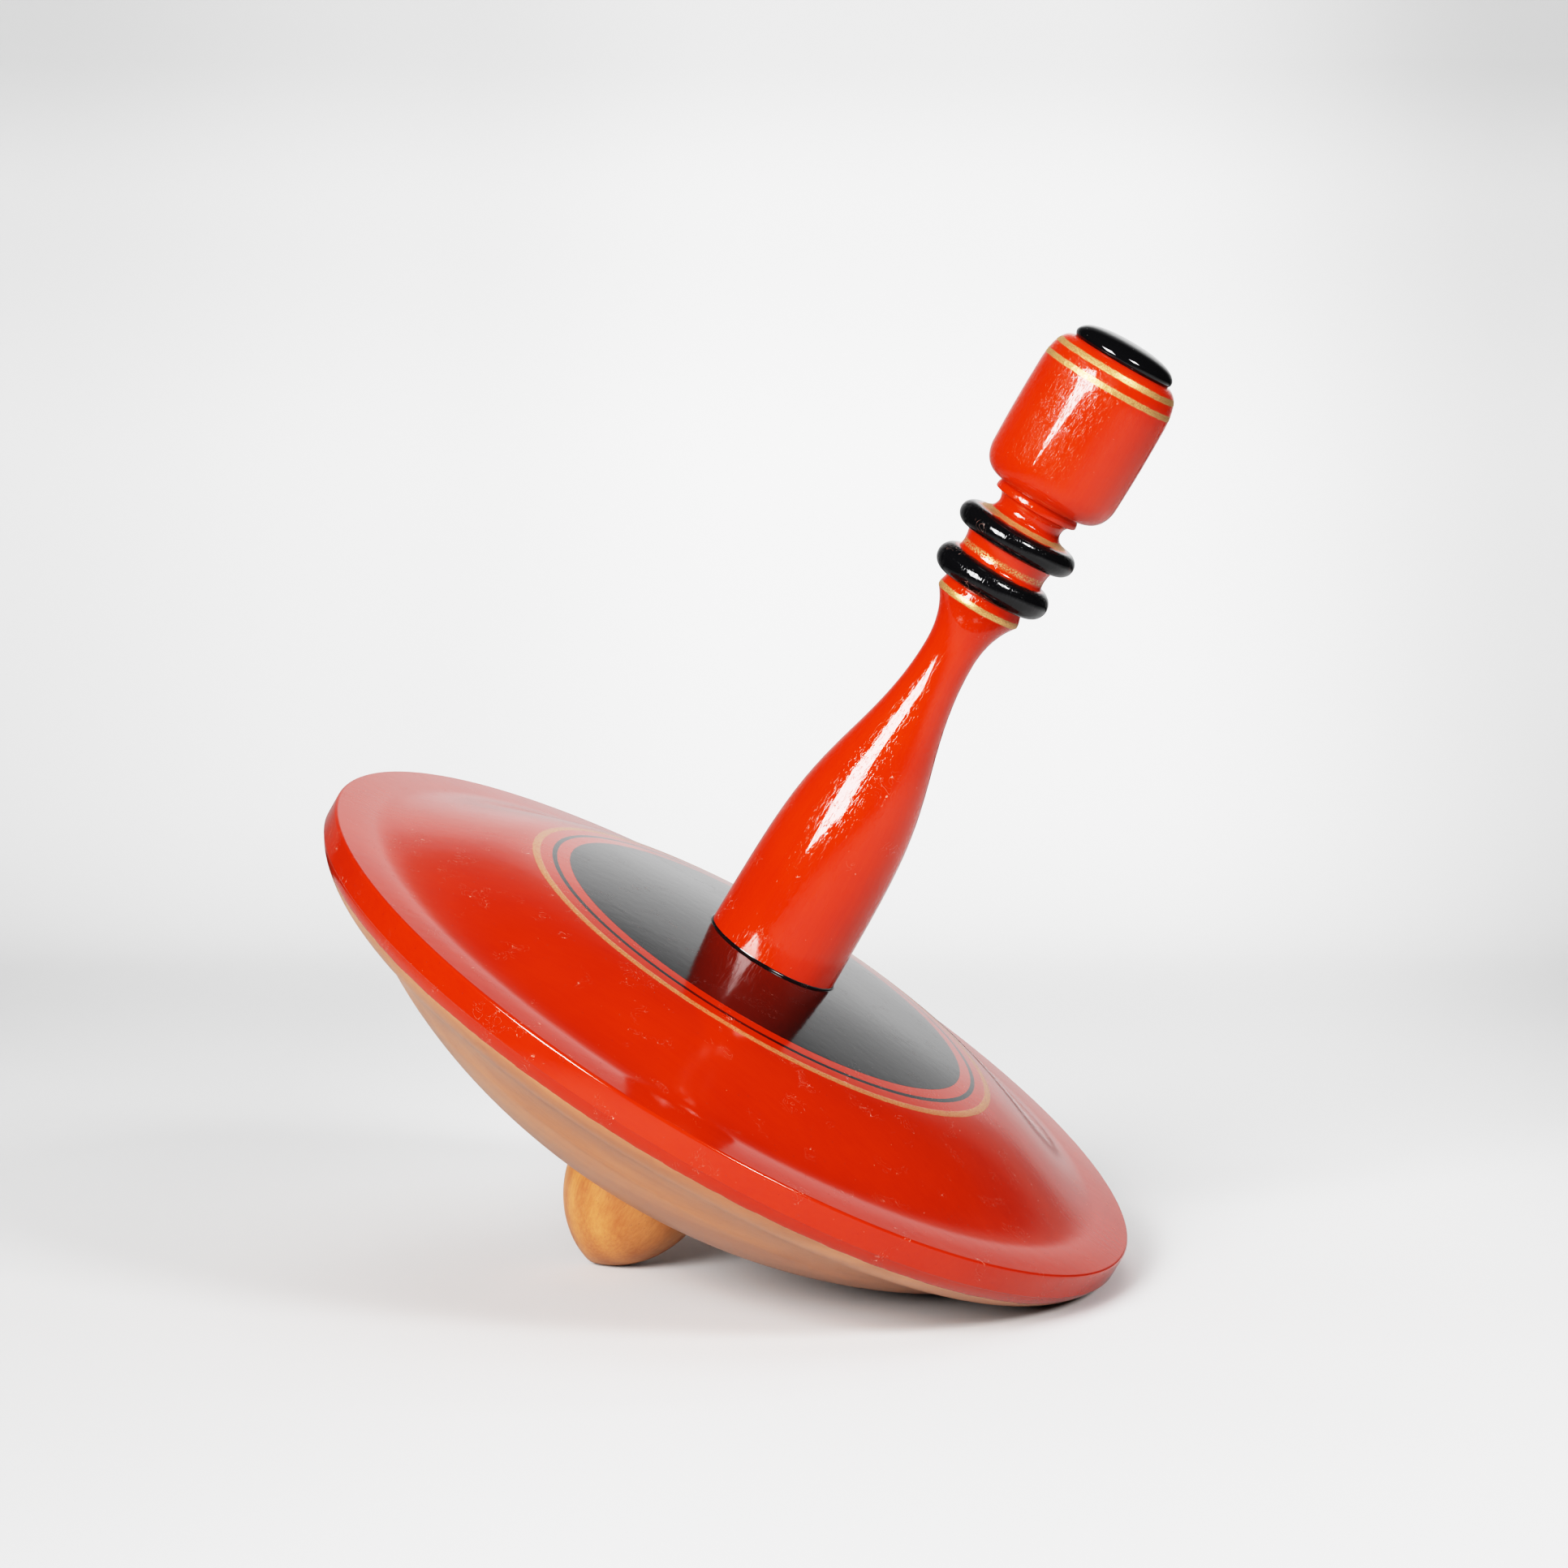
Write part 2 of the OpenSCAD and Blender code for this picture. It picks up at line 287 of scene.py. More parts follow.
class Studio(bpy.types.PropertyGroup):
    """Floor, lights and camera."""

    camera_at: FloatVectorProperty(
        name="Camera place",
        description="Where the camera stands",
        default=(0.177256, -0.597182, 0.123386),
        subtype="TRANSLATION",
        unit="LENGTH",
        precision=5,
    )
    camera_turn: FloatVectorProperty(
        name="Camera turn",
        description="Camera's rotation",
        default=tuple(math.radians(a) for a in (86.1983, -0.15, 16.0857)),
        subtype="EULER",
        unit="ROTATION",
    )
    lens: number("Lens", "Focal length on a 36 mm sensor, in millimetres", 86.43)
    ambient: number("Ambient", "Strength of the light from all round", 0.045)
    room: number("Room", "Brightness of the room in reflections", 0.02)
    surround: number("Surround", "Brightness beyond the paper", 0.85)
    wall_glow: number("Wall in reflections", "Brightness of the mirrored wall", 1.15)
    key: number("Key light", "Power of the window light at the left, in watts", 37.0)
    side: number("Side light", "Power of the small light at the right, in watts", 13.0)
    top: number("Top light", "Power of the light overhead, in watts", 6.5)
    wall: number("Wall light", "Power of the light on the backdrop, in watts", 1.6)


class TopProject(bpy.types.PropertyGroup):
    """Everything about the top that can be set."""

    disc: PointerProperty(type=DiscSizes)
    foot: PointerProperty(type=FootSizes)
    handle: PointerProperty(type=HandleSizes)
    knob: PointerProperty(type=KnobSizes)
    cap: PointerProperty(type=CapSizes)
    finishes: PointerProperty(type=Finishes)
    studio: PointerProperty(type=Studio)
    steps: IntProperty(name="Steps", description="Steps round each turned piece", default=256)


# ---------------------------------------------------------------- outlines


def curve(a, b, c, d, n=18):
    """Points along a cubic curve from a to d, drawn toward b and c."""
    a, b, c, d = (Vector(p) for p in (a, b, c, d))
    points = []
    for i in range(n + 1):
        t = i / n
        u = 1 - t
        points.append(tuple(a * u**3 + b * 3 * t * u * u + c * 3 * t * t * u + d * t**3))
    return points


def arc(centre, radius, start, end, n=12):
    """Points along an arc, with its angles in degrees."""
    points = []
    for i in range(n + 1):
        a = math.radians(start + (end - start) * i / n)
        points.append((centre[0] + radius * math.cos(a), centre[1] + radius * math.sin(a)))
    return points


def joined(*stretches):
    """One outline from several stretches, with no point twice in a row."""
    outline = []
    for stretch in stretches:
        for point in stretch:
            if not outline or (Vector(point) - Vector(outline[-1])).length > 1e-7:
                outline.append(tuple(point))
    return outline


def heights(top):
    """Heights along the spin axis, from the rim's upper edge."""
    h, k = top.handle, top.knob
    z = {"base": top.disc.dome}
    z["neck"] = z["base"] + h.neck_height
    z["collar"] = z["neck"] + h.flare
    z["low_bead"] = z["collar"] + h.collar_height
    z["low_cove"] = z["low_bead"] + h.low_bead_height
    z["top_bead"] = z["low_cove"] + h.low_cove_height
    z["top_cove"] = z["top_bead"] + h.top_bead_height
    z["flange"] = z["top_cove"] + h.top_cove_height
    z["knob"] = z["flange"] + h.flange_height
    z["cap"] = z["knob"] + k.height
    z["seat"] = -top.disc.belly_depth
    z["tip"] = z["seat"] - top.foot.height
    return z


def disc_outline(top):
    d, h = top.disc, top.handle
    brim = d.radius - d.brim
    lip = d.radius - d.lip_width
    shoulder = d.dome - d.dome_drop
    pull = 10 * MM
    third = d.brim / 3
    brim_pull, brim_pull_rise = 6.1 * MM, 0.85 * MM
    meniscus = arc((h.grip + 0.42 * MM, d.dome + 0.38 * MM), 0.38 * MM, 185, 270, 6)
    return joined(
        [(d.bore, d.dome), (h.grip - 0.4 * MM, d.dome)],
        [(h.grip - 0.02 * MM, d.dome + 0.02 * MM)],
        meniscus,
        curve(
            (h.grip + 0.9 * MM, d.dome - 0.02 * MM),
            (h.grip + 9 * MM, d.dome - 0.35 * MM),
            (d.dome_radius - pull, shoulder + pull * 0.16),
            (d.dome_radius, shoulder),
            40,
        ),
        curve(
            (d.dome_radius, shoulder),
            (d.dome_radius + pull, shoulder - pull * 0.22),
            (brim - brim_pull, brim_pull_rise),
            (brim, d.brim_rise),
            48,
        ),
        curve(
            (brim, d.brim_rise),
            (brim + third, d.brim_rise - 0.05 * third),
            (d.radius - d.rim_edge - third, 0.10 * third),
            (d.radius - d.rim_edge, 0),
            16,
        ),
        arc((d.radius - d.rim_edge, -d.rim_edge), d.rim_edge, 90, 0, 8),
        arc((d.radius - 0.3 * MM, -d.rim + 0.1 * MM), 0.3 * MM, 0, -66, 5),
        curve(
            (d.radius - 0.18 * MM, -d.rim - 0.18 * MM),
            (d.radius - 0.8 * MM, -d.rim - 1.9 * MM),
            (lip + 3.1 * MM, -d.lip_depth + 1.15 * MM),
            (lip, -d.lip_depth),
            22,
        ),
        curve(
            (lip, -d.lip_depth),
            (lip - 3.8 * MM, -d.lip_depth - 0.95 * MM),
            (d.belly_radius + 4 * MM, -d.belly_spring + 3.3 * MM),
            (d.belly_radius, -d.belly_spring),
            26,
        ),
        curve(
            (d.belly_radius, -d.belly_spring),
            (
                d.belly_radius * 0.79,
                -d.belly_spring - 0.53 * (d.belly_depth - d.belly_spring),
            ),
            (d.belly_radius * 0.49, -d.belly_depth + 1.1 * MM),
            (top.foot.radius, -d.belly_depth),
            44,
        ),
        [(d.bore, -d.belly_depth)],
        [(d.bore, d.dome)],
    )


def foot_outline(top):
    f, z = top.foot, heights(top)
    chamfer = 0.8 * MM
    nose = z["tip"] + f.nose
    return joined(
        [(0, -f.tenon_top), (f.tenon - chamfer, -f.tenon_top)],
        [(f.tenon, -f.tenon_top - chamfer), (f.tenon, z["seat"])],
        [(f.radius - 0.25 * MM, z["seat"])],
        curve(
            (f.radius, z["seat"] - 0.2 * MM),
            (f.radius, z["seat"] - f.height * 0.51),
            (f.radius * 0.58, z["tip"] + f.height * 0.18),
            (f.tip, nose),
            40,
        ),
        curve(
            (f.tip, nose),
            (f.tip * 0.62, z["tip"] + 0.4 * MM),
            (f.tip * 0.3, z["tip"]),
            (0, z["tip"]),
            12,
        ),
    )


def bead(radius, height, bottom):
    """A half-round bead, from its underside to its top."""
    return arc((radius - height / 2, bottom + height / 2), height / 2, -90, 90, 28)


def handle_outline(top):
    h, f, z = top.handle, top.foot, heights(top)
    chamfer = 0.8 * MM
    spigot_end = z["base"] - h.spigot
    turn_at = Vector((h.grip * 0.66, z["base"] + h.neck_height * 0.676))
    slope = Vector((0.28, -1))
    cove_mid = (h.top_cove + 0.05 * MM, z["top_cove"] + h.top_cove_height * 0.72)
    spigot_top = z["knob"] + h.top_spigot_length
    return joined(
        [(0, spigot_end), (f.tenon - chamfer, spigot_end)],
        [(f.tenon, spigot_end + chamfer), (f.tenon, z["base"])],
        arc((h.grip - 0.25 * MM, z["base"] + 0.25 * MM), 0.25 * MM, -90, 0, 4),
        curve(
            (h.grip, z["base"] + 0.3 * MM),
            (h.grip - 0.2 * MM, z["base"] + h.neck_height * 0.384),
            turn_at + slope * h.neck_height * 0.207,
            turn_at,
            44,
        ),
        curve(
            turn_at,
            turn_at - slope * h.neck_height * 0.086,
            (h.neck, z["neck"] - h.neck_height * 0.126),
            (h.neck, z["neck"]),
            26,
        ),
        curve(
            (h.neck, z["neck"]),
            (h.neck, z["neck"] + h.flare * 0.41),
            (h.collar * 0.74, z["collar"] - h.flare * 0.25),
            (h.collar - 0.08 * MM, z["collar"] - 0.1 * MM),
            22,
        ),
        curve(
            (h.collar - 0.08 * MM, z["collar"] - 0.1 * MM),
            (h.collar, z["collar"]),
            (h.collar, z["collar"] + 0.2 * MM),
            (h.collar, z["collar"] + 0.35 * MM),
            5,
        ),
        curve(
            (h.collar, z["collar"] + 0.35 * MM),
            (h.collar, z["collar"] + 0.9 * MM),
            (h.collar - 0.35 * MM, z["low_bead"] - 0.7 * MM),
            (h.collar - 0.5 * MM, z["low_bead"]),
            8,
        ),
        bead(h.low_bead, h.low_bead_height, z["low_bead"]),
        curve(
            (h.low_bead - h.low_bead_height / 2, z["low_cove"]),
            (h.low_cove - 0.3 * MM, z["low_cove"] + h.low_cove_height * 0.15),
            (h.low_cove - 0.15 * MM, z["low_cove"] + h.low_cove_height * 0.7),
            (h.low_cove + 0.35 * MM, z["top_bead"]),
            16,
        ),
        bead(h.top_bead, h.top_bead_height, z["top_bead"]),
        curve(
            (h.top_bead - h.top_bead_height / 2, z["top_cove"]),
            (h.top_cove + 0.3 * MM, z["top_cove"] + h.top_cove_height * 0.1),
            (h.top_cove - 0.3 * MM, z["top_cove"] + h.top_cove_height * 0.4),
            cove_mid,
            18,
        ),
        curve(
            cove_mid,
            (h.top_cove + 0.25 * MM, z["flange"] - h.top_cove_height * 0.1),
            (h.flange - 0.9 * MM, z["flange"]),
            (h.flange - 0.25 * MM, z["flange"]),
            12,
        ),
        arc((h.flange - 0.25 * MM, z["flange"] + 0.25 * MM), 0.25 * MM, -90, 0, 5),
        curve(
            (h.flange, z["flange"] + 0.4 * MM),
            (h.flange, z["flange"] + 1.0 * MM),
            (h.flange - 0.2 * MM, z["knob"] - 0.3 * MM),
            (h.flange - 0.5 * MM, z["knob"]),
            6,
        ),
        [(h.top_spigot, z["knob"]), (h.top_spigot, spigot_top - chamfer)],
        [(h.top_spigot - chamfer, spigot_top), (0, spigot_top)],
    )


def knob_outline(top):
    k, c, z = top.knob, top.cap, heights(top)
    seat = top.handle.flange + 0.15 * MM
    low = z["knob"] + k.base_round
    high = z["cap"] - k.top_round
    cap_bore = z["cap"] - c.stub - 0.6 * MM
    handle_bore = z["knob"] + top.handle.top_spigot_length + 0.6 * MM
    return joined(
        [(k.bore, z["knob"])],
        curve(
            (seat, z["knob"]),
            (seat + 2.1 * MM, z["knob"] + 0.1 * MM),
            (k.radius - 0.25 * MM, z["knob"] + k.base_round * 0.35),
            (k.radius - 0.15 * MM, low),
            26,
        ),
        curve(
            (k.radius - 0.15 * MM, low),
            (k.radius + 0.02 * MM, low + (high - low) * 0.35),
            (k.radius + 0.02 * MM, low + (high - low) * 0.65),
            (k.radius - 0.1 * MM, high),
            24,
        ),
        curve(
            (k.radius - 0.1 * MM, high),
            (k.radius - 0.3 * MM, high + k.top_round * 0.62),
            (k.radius - 1.1 * MM, z["cap"] - 0.35 * MM),
            (c.radius - c.tuck, z["cap"]),
            26,
        ),
        [(k.top_bore, z["cap"]), (k.top_bore, cap_bore), (0, cap_bore)],
        [(0, handle_bore), (k.bore, handle_bore), (k.bore, z["knob"])],
    )


def cap_outline(top):
    c, z = top.cap, heights(top)
    stub = top.knob.top_bore - 0.05 * MM
    chamfer = 0.8 * MM
    roll = 0.1 * MM
    edge = (c.radius * 0.93, z["cap"] + c.height * 0.52)
    return joined(
        [(0, z["cap"] - c.stub), (stub - chamfer, z["cap"] - c.stub)],
        [(stub, z["cap"] - c.stub + chamfer), (stub, z["cap"])],
        curve(
            (c.radius - c.tuck, z["cap"]),
            (c.radius + roll, z["cap"] + c.height * 0.12),
            (c.radius + roll, z["cap"] + c.height * 0.34),
            edge,
            22,
        ),
        curve(
            edge,
            (c.radius * 0.80, z["cap"] + c.height * 0.87),
            (c.radius * 0.42, z["cap"] + c.height),
            (0, z["cap"] + c.height),
            22,
        ),
    )


# ------------------------------------------------------------------ lathe


def axis_zero(top):
    """Where the rim's upper edge crosses the spin axis, in the row frame."""
    return FOOT_END - SPIN_AXIS * heights(top)["tip"]


def turn(name, outline, top):
    """Draws an outline with one vertex, spins it round the axis and lays it in place."""
    bpy.ops.object.select_all(action="DESELECT")
    bpy.ops.mesh.primitive_plane_add(size=MM)
    piece = bpy.context.object
    piece.name = piece.data.name = name
    bpy.ops.object.mode_set(mode="EDIT")
    bpy.ops.mesh.select_all(action="SELECT")
    bpy.ops.mesh.merge(type="CENTER")
    at = Vector(outline[0])
    bpy.ops.transform.translate(value=(at.x, 0, at.y))
    for point in outline[1:]:
        step = Vector(point) - at
        bpy.ops.mesh.extrude_region_move(TRANSFORM_OT_translate={"value": (step.x, 0, step.y)})
        at = Vector(point)
    bpy.ops.mesh.select_all(action="SELECT")
    bpy.ops.mesh.spin(
        steps=top.steps, angle=math.tau, center=(0, 0, 0), axis=(0, 0, 1), use_auto_merge=True
    )
    bpy.ops.mesh.select_all(action="SELECT")
    bpy.ops.mesh.remove_doubles(threshold=2e-7)
    bpy.ops.mesh.normals_make_consistent(inside=False)
    bpy.ops.object.mode_set(mode="OBJECT")
    piece.rotation_euler = (0, LEAN, 0)
    piece.location = axis_zero(top)
    bpy.ops.object.transform_apply(location=True, rotation=True, scale=True)
    bpy.ops.object.shade_smooth_by_angle(angle=math.radians(32))
    return piece


# --------------------------------------------------------------- materials


class Value:
    """A number or colour that changes over a surface. Operators add Math nodes."""

    def __init__(self, paint, socket):
        self.paint, self.socket = paint, socket

    def math(self, operation, *others, clamp=False):
        settings = {"operation": operation, "use_clamp": clamp}
        return self.paint.add("ShaderNodeMath", settings, [self, *others])

    def __add__(self, other):
        return self.math("ADD", other)

    def __sub__(self, other):
        return self.math("SUBTRACT", other)

    def __mul__(self, other):
        return self.math("MULTIPLY", other)

    def __truediv__(self, other):
        return self.math("DIVIDE", other)

    def __rsub__(self, other):
        return self.paint.add("ShaderNodeMath", {"operation": "SUBTRACT"}, [other, self])

    def __abs__(self):
        return self.math("ABSOLUTE")

    def clamped(self):
        return self.math("ADD", 0.0, clamp=True)

    def over(self, edge, soft):
        """0 below the edge and 1 above it, over a soft width."""
        return ((self - edge) / soft).math("ADD", 0.5, clamp=True)

    def under(self, edge, soft):
        return 1 - self.over(edge, soft)

    def band(self, low, high, soft):
        return self.over(low, soft) * self.under(high, soft)

    def line(self, middle, width, soft):
        """1 within a line of that width, with soft edges."""
        return abs(self - middle).under(width / 2, soft)

    __radd__, __rmul__ = __add__, __mul__


class Paint:
    """One material, with positions in millimetres in the top's own turning frame."""

    def __init__(self, name, zero):
        self.material = bpy.data.materials.new(name)
        self.material.use_nodes = True
        self.tree = self.material.node_tree
        self.tree.nodes.clear()
        self.surface = self.tree.nodes.new("ShaderNodeBsdfPrincipled")
        self.surface.inputs["IOR"].default_value = 1.5
        output = self.tree.nodes.new("ShaderNodeOutputMaterial")
        self.tree.links.new(self.surface.outputs[0], output.inputs[0])
        place = self.add("ShaderNodeTexCoord", {}, [], "Object")
        self.at = self.add(
            "ShaderNodeMapping",
            {"vector_type": "TEXTURE"},
            {"Vector": place, "Location": zero, "Rotation": (0, LEAN, 0), "Scale": (MM, MM, MM)},
        )
        self.x, self.y, self.z = self.parts(self.at)
        self.r = (self.x * self.x + self.y * self.y).math("SQRT")

    def add(self, kind, settings, values, output=0):
        """A node of any kind, with its settings, then its sockets' values or links."""
        node = self.tree.nodes.new(kind)
        for key, setting in settings.items():
            setattr(node, key, setting)
        pairs = values.items() if isinstance(values, dict) else enumerate(values)
        for key, value in pairs:
            if isinstance(value, Value):
                self.tree.links.new(value.socket, node.inputs[key])
            else:
                node.inputs[key].default_value = value
        return Value(self, node.outputs[output])

    def parts(self, vector):
        split = self.add("ShaderNodeSeparateXYZ", {}, [vector])
        return [Value(self, split.socket.node.outputs[i]) for i in range(3)]

    def stretched(self, turn, along, across, up):
        """Positions turned about the spin axis and scaled, for grain that runs one way."""
        return self.add(
            "ShaderNodeMapping",
            {"vector_type": "POINT"},
            {"Vector": self.at, "Rotation": (0, 0, turn), "Scale": (along, across, up)},
        )

    def noise(self, where, scale, detail=2.0, rough=0.5, distortion=0.0):
        values = {
            "Vector": where,
            "Scale": scale,
            "Detail": detail,
            "Roughness": rough,
            "Distortion": distortion,
        }
        return self.add("ShaderNodeTexNoise", {}, values, "Fac")

    def specks(self, where, cell, size, share):
        """Small round specks: one in some of the cells of that size."""
        values = {"Vector": where, "Scale": 1 / cell}
        far = self.add("ShaderNodeTexVoronoi", {}, values, "Distance")
        chance = self.parts(Value(self, far.socket.node.outputs["Color"]))[0]
        return far.under(size / cell, 0.3 * size / cell) * chance.over(1 - share, 0.01)

    def hairs(self, where, scale, width, share, turn=3.0):
        """Short curved fibres: thin level lines of a noise, shown here and there."""
        level = self.noise(where, scale, 0.0, 0.5, turn)
        patch = self.noise(where, scale * 0.45, 1.0, 0.5, 0.5)
        return abs(level - 0.5).under(width, width * 0.6) * patch.over(share, 0.03)

    def mix(self, mask, below, above):
        values = {"Factor": mask, 6: below, 7: above}
        return self.add("ShaderNodeMix", {"data_type": "RGBA"}, values, 2)

    def finish(self, base, roughness, metallic=0.0, height=None, depth=0.00001):
        """Connects what changes over the surface. Depth is the bump's height in metres."""
        for key, value in (("Base Color", base), ("Roughness", roughness), ("Metallic", metallic)):
            if isinstance(value, Value):
                self.tree.links.new(value.socket, self.surface.inputs[key])
            else:
                self.surface.inputs[key].default_value = value
        if height is not None:
            bump = self.add("ShaderNodeBump", {}, {"Height": height, "Distance": depth})
            self.tree.links.new(bump.socket, self.surface.inputs["Normal"])
        return self.material


def rgba(value):
    return (*value, 1.0)


def red_coat(paint, fin, grain, depth=1.0):
    """Vermilion lacquer with faint cloudiness, over grain that shows through."""
    cloud = paint.noise(paint.at, 0.06, 3.0, 0.55)
    streak = paint.noise(grain, 1.0, 3.0, 0.6)
    cover = (cloud * 0.6 + streak * 0.4).over(0.5, 0.35)
    deep, light = (rgba([c * depth for c in shade]) for shade in (fin.red_deep, fin.red))
    return paint.mix(cover, deep, light)


def gold_powder(paint, fin):
    """Gold powder, granular, with thin places."""
    grain = paint.noise(paint.at, 5.0, 2.0, 0.7)
    return paint.mix(grain.over(0.5, 0.25), rgba(fin.gold_dark), rgba(fin.gold)), grain


def timber(paint, figure, fibre, light, dark):
    """Clear-finished wood: broad figure, fine fibres and short pores."""
    broad = paint.noise(figure, 1.0, 4.0, 0.55, 0.6)
    fine = paint.noise(fibre, 1.0, 3.0, 0.65)
    pores = paint.noise(fibre, 1.9, 1.0, 0.5).over(0.70, 0.05)
    shade = (broad.over(0.5, 0.34) * 0.75 + fine.over(0.5, 0.5) * 0.35).clamped()
    base = paint.mix(shade, rgba(dark), rgba(light))
    base = paint.mix(pores * 0.35, base, (dark[0] * 0.45, dark[1] * 0.4, dark[2] * 0.4, 1.0))
    return base, fine, pores


def disc_material(top):
    fin, d = top.finishes, top.disc
    paint = Paint("disc_finish", axis_zero(top))
    turn_grain = math.radians(-11)
    grain = paint.stretched(turn_grain, 0.10, 1.6, 1.6)
    fine_grain = paint.stretched(turn_grain, 0.35, 3.2, 3.2)
    wobble = paint.noise(paint.at, 0.25, 3.0, 0.6) - 0.5
    fine_wobble = (paint.noise(paint.at, 1.2, 2.0, 0.6) - 0.5) * 0.12
    top_side = paint.z.over(0.05, 0.02)
    field = (paint.r + fine_wobble).under(d.field / MM, 0.06) * top_side
    line = (paint.r + fine_wobble).line(d.black_line / MM, d.black_width / MM, 0.06) * top_side
    gold = (paint.r + fine_wobble * 1.5).line(d.gold_line / MM, d.gold_width / MM, 0.12) * top_side
    red = (paint.z + wobble * 0.6).over(-d.paint_end / MM, 0.12)
    red_base = red_coat(paint, fin, grain, DISC_RED_SCALE)
    gold_base, gold_grain = gold_powder(paint, fin)
    figure = paint.stretched(turn_grain, 0.012, 0.11, 0.16)
    fibre = paint.stretched(turn_grain, 0.10, 2.0, 2.0)
    wood_base, fibres, pores = timber(paint, figure, fibre, fin.wood, fin.wood_dark)
    gold_show = gold * gold_grain.over(0.38, 0.12)
    lint = (
        paint.hairs(paint.at, 0.42, 0.0035, 0.61)
        + paint.specks(paint.at, 2.6, 0.08, 0.30)
        + paint.specks(paint.at, 1.1, 0.04, 0.22)
    ).clamped()
    pits = paint.specks(paint.stretched(turn_grain, 0.45, 1.0, 1.0), 0.85, 0.055, 0.6)
    base = paint.mix(red, wood_base, red_base)
    base = paint.mix((field + line).clamped(), base, rgba(fin.black))
    base = paint.mix(gold_show * 0.62, base, gold_base)
    base = paint.mix(pits * red * 0.6, base, rgba(fin.black))
    base = paint.mix(lint * red * (1 - field * 0.7) * 0.65, base, rgba(fin.lint))
    cloud = paint.noise(paint.at, 0.12, 3.0, 0.6)
    rough = red * (fin.disc_gloss + (cloud - 0.5) * 0.04) + (1 - red) * 0.31
    rough = rough + gold_show * 0.13 + lint * 0.25 * red
    peel = paint.noise(paint.at, 0.45, 1.0, 0.5) * 1.2
    peel = peel + paint.noise(fine_grain, 1.0, 2.0, 0.55) * 0.5
    height = red * (peel - pits * 2.2 + lint * 2.0 + gold * 0.8 + field * 0.6)
    height = height + (1 - red) * (fibres * 0.45 - pores * 0.6) + red * 2.5
    return paint.finish(base, rough, gold_show * 0.2, height, 0.000012)


def handle_material(top):
    fin, h, z = top.finishes, top.handle, heights(top)
    paint = Paint("handle_finish", axis_zero(top))
    grain = paint.stretched(0, 1.6, 1.6, 0.09)
    wobble = (paint.noise(paint.at, 0.5, 2.0, 0.6) - 0.5) * 0.35
    up = paint.z + wobble
    black = up.band(z["low_bead"] / MM + 0.05, z["low_cove"] / MM - 0.05, 0.08)
    black = black + up.band(z["top_bead"] / MM + 0.05, z["top_cove"] / MM + 0.05, 0.08)
    seam = (paint.z + wobble * 1.2).under((z["base"] + h.seam) / MM, 0.1)
    black = (black + seam).clamped()
    width = h.gold_width / MM
    grains = paint.noise(paint.at, 4.0, 3.0, 0.7)
    collar_gold = up.line(z["collar"] / MM + 0.40, width, 0.15)
    cove_gold = up.line(z["top_cove"] / MM + 0.45, width * 0.6, 0.12)
    worn_gold = up.line(z["low_cove"] / MM + 1.2, width * 0.9, 0.35) * grains.over(0.50, 0.12)
    gold = ((collar_gold + cove_gold) * grains.over(0.30, 0.15) + worn_gold).clamped()
    gold_base, _ = gold_powder(paint, fin)
    dust = paint.specks(paint.at, 1.5, 0.05, 0.30) + paint.hairs(paint.at, 0.35, 0.004, 0.63)
    base = paint.mix(black, red_coat(paint, fin, grain), rgba(fin.black))
    base = paint.mix(gold, base, gold_base)
    base = paint.mix(dust.clamped() * 0.5, base, rgba(fin.lint))
    rough = fin.gloss + gold * 0.33 + seam * 0.25 * grains.over(0.5, 0.1) + dust * 0.2
    streaks = paint.noise(paint.stretched(0, 3.2, 3.2, 0.5), 1.0, 2.0, 0.6).over(0.60, 0.12)
    peel = paint.noise(paint.at, 0.5, 1.0, 0.5) + streaks * 1.3
    height = peel + gold * 0.5 + dust * 1.5 + seam * grains * 3.0
    return paint.finish(base, rough, gold * 0.5, height, 0.000010)


def knob_material(top):
    fin, k, z = top.finishes, top.knob, heights(top)
    paint = Paint("knob_finish", axis_zero(top))
    grain = paint.stretched(0, 1.8, 1.8, 0.10)
    scratch = paint.stretched(0, 6.0, 6.0, 0.8)
    wobble = (paint.noise(paint.at, 0.5, 2.0, 0.6) - 0.5) * 0.25
    up = paint.z + wobble
    width = k.gold_width / MM
    grains = paint.noise(paint.at, 4.5, 3.0, 0.7)
    gold = up.line((z["cap"] - k.low_line) / MM, width, 0.15)
    gold = (gold + up.line((z["cap"] - k.top_line) / MM, width, 0.15)) * grains.over(0.27, 0.15)
    gold_base, _ = gold_powder(paint, fin)
    dust = paint.specks(paint.at, 1.4, 0.045, 0.30)
    base = paint.mix(gold, red_coat(paint, fin, grain), gold_base)
    base = paint.mix(dust * 0.4, base, rgba(fin.lint))
    rough = fin.gloss + gold * 0.33 + dust * 0.2
    streaks = paint.noise(scratch, 1.0, 2.0, 0.6).over(0.58, 0.12)
    peel = paint.noise(paint.at, 0.45, 1.0, 0.5) * 0.8 + streaks * 1.3
    height = peel + gold * 0.5 + dust * 1.2
    return paint.finish(base, rough, gold * 0.5, height, 0.000010)


def cap_material(top):
    fin = top.finishes
    paint = Paint("cap_finish", axis_zero(top))
    dust = paint.specks(paint.at, 0.9, 0.05, 0.45) + paint.specks(paint.at, 2.0, 0.09, 0.25)
    dust = dust.clamped()
    base = paint.mix(dust * 0.35, rgba(fin.black), (0.55, 0.53, 0.52, 1.0))
    peel = paint.noise(paint.at, 0.5, 1.0, 0.5) + dust * 1.5
    return paint.finish(base, fin.gloss + dust * 0.3, 0.0, peel, 0.000010)


